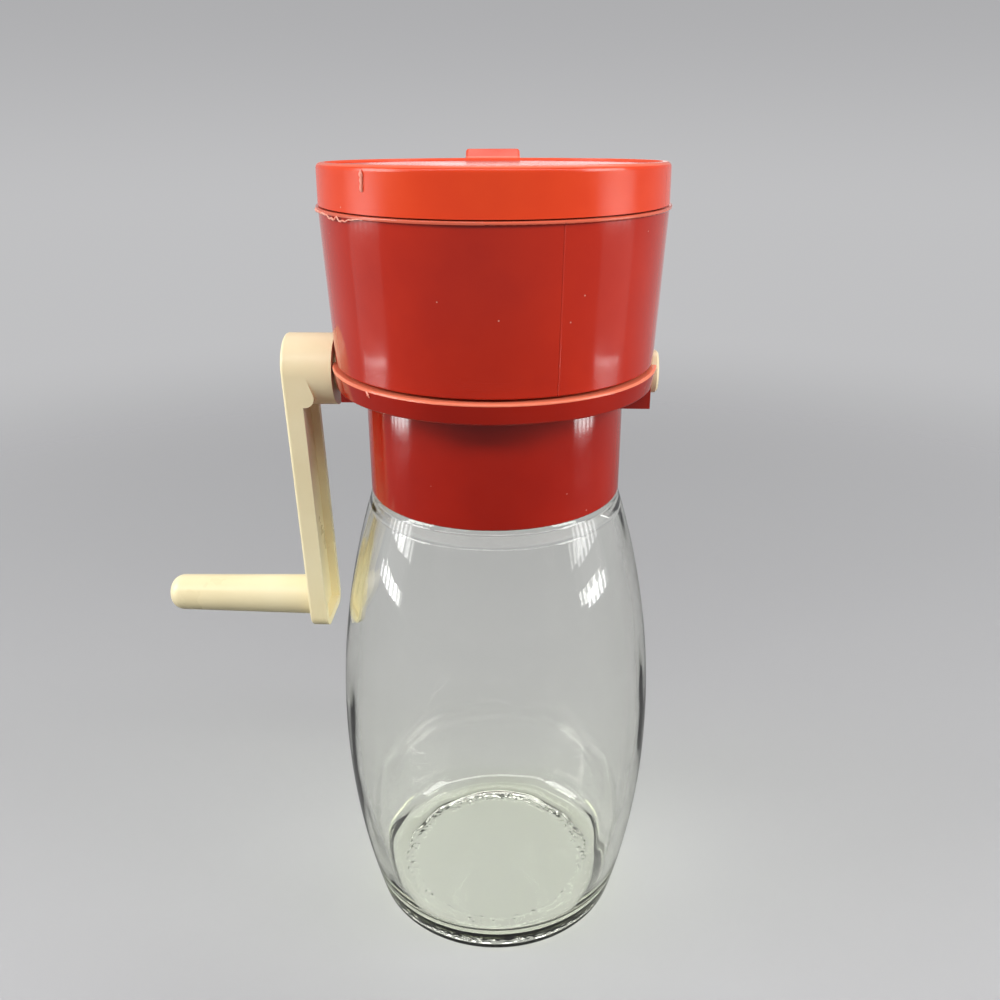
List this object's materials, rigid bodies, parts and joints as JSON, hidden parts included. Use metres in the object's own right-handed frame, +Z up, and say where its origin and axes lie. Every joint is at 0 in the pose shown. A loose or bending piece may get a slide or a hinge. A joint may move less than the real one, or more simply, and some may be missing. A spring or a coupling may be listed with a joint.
{
  "type": "nut chopper",
  "caption": "Hand-cranked nut chopper: a bowed glass jar under a screw-on collar with a toothed rotor and combs, a round hopper, a lid and a side crank.",
  "frame": {"origin": "on the jar's axis, in the plane that the jar stands on", "axes": "+Z up along the jar's axis; the rotor's shaft lies along X with the crank at -X; the lid's tab is at +Y"},
  "size_m": [0.1311, 0.0889, 0.2044],
  "materials": {
    "jar_glass": "clear pressed glass",
    "red_plastic": "glossy moulded",
    "cream_plastic": "satin moulded",
    "steel": "stamped"
  },
  "bodies": {
    "jar_body": {"jar": "jar_glass"},
    "base": {"base_collar": "red_plastic", "coarse_comb": "steel", "fine_comb": "steel", "comb_rivets": "steel"},
    "rotor": {"crank": "cream_plastic", "drive_shaft": "cream_plastic", "star_blade_1": "steel", "star_blade_2": "steel", "star_blade_3": "steel", "star_blade_4": "steel", "star_blade_5": "steel", "star_blade_6": "steel", "spacer_1": "cream_plastic", "spacer_2": "cream_plastic", "spacer_3": "cream_plastic", "spacer_4": "cream_plastic", "spacer_5": "cream_plastic", "spacer_6": "cream_plastic", "spacer_7": "cream_plastic"},
    "hopper_body": {"hopper": "red_plastic"},
    "lid_body": {"lid": "red_plastic"}
  },
  "joints": [
    {"name": "base_lift", "type": "slide", "parent": "jar_body", "child": "base", "axis": [0, 0, 1], "range_m": [0, 0.03]},
    {"name": "crank_turn", "type": "hinge", "parent": "base", "child": "rotor", "pos_m": [0, 0, 0.1547], "axis": [1, 0, 0], "continuous": true},
    {"name": "hopper_lift", "type": "slide", "parent": "base", "child": "hopper_body", "axis": [0, 0, 1], "range_m": [0, 0.03]},
    {"name": "lid_lift", "type": "slide", "parent": "hopper_body", "child": "lid_body", "axis": [0, 0, 1], "range_m": [0, 0.02]}
  ]
}
